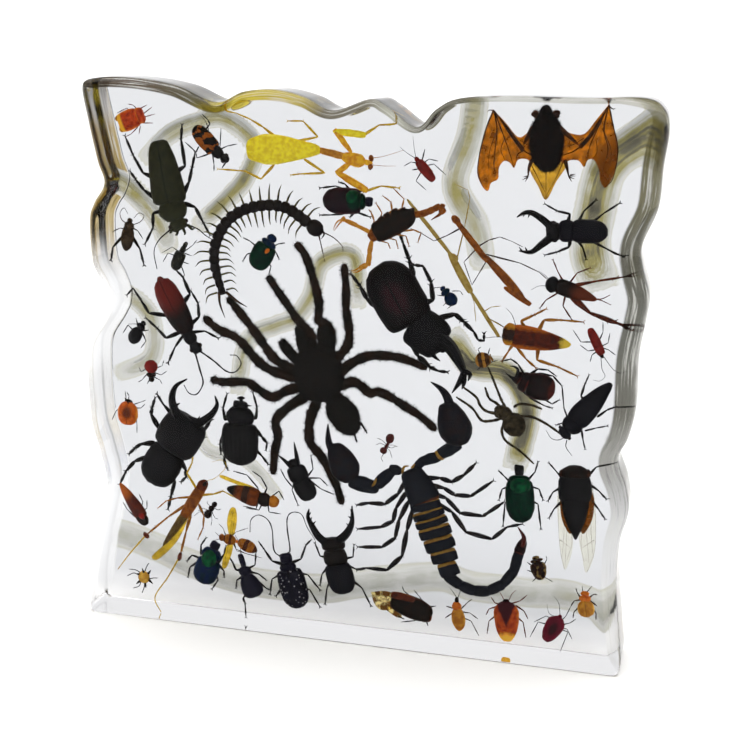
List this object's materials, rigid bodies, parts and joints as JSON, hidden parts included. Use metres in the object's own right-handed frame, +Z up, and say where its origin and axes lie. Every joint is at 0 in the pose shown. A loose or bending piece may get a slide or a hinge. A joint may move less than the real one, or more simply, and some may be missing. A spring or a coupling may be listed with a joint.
{
  "type": "insect in resin block",
  "caption": "Standing slab of clear cast resin with wavy edges, a flat polished front and dried insects, spiders, scorpions and a small bat sealed inside.",
  "frame": {"origin": "middle of the flat base, at the bottom of the slab", "axes": "+Z up, -Y towards the viewer of the flat polished front, +X to the viewer's right"},
  "size_m": [0.2856, 0.038, 0.2792],
  "materials": {
    "clear_resin": "clear cast resin, polished",
    "dark_chitin": "dried insect shell, satin",
    "amber_chitin": "dried insect shell and wings, translucent",
    "hide": "dried fur and wing skin"
  },
  "bodies": {
    "root": {"resin_block": "clear_resin"}
  },
  "joints": []
}
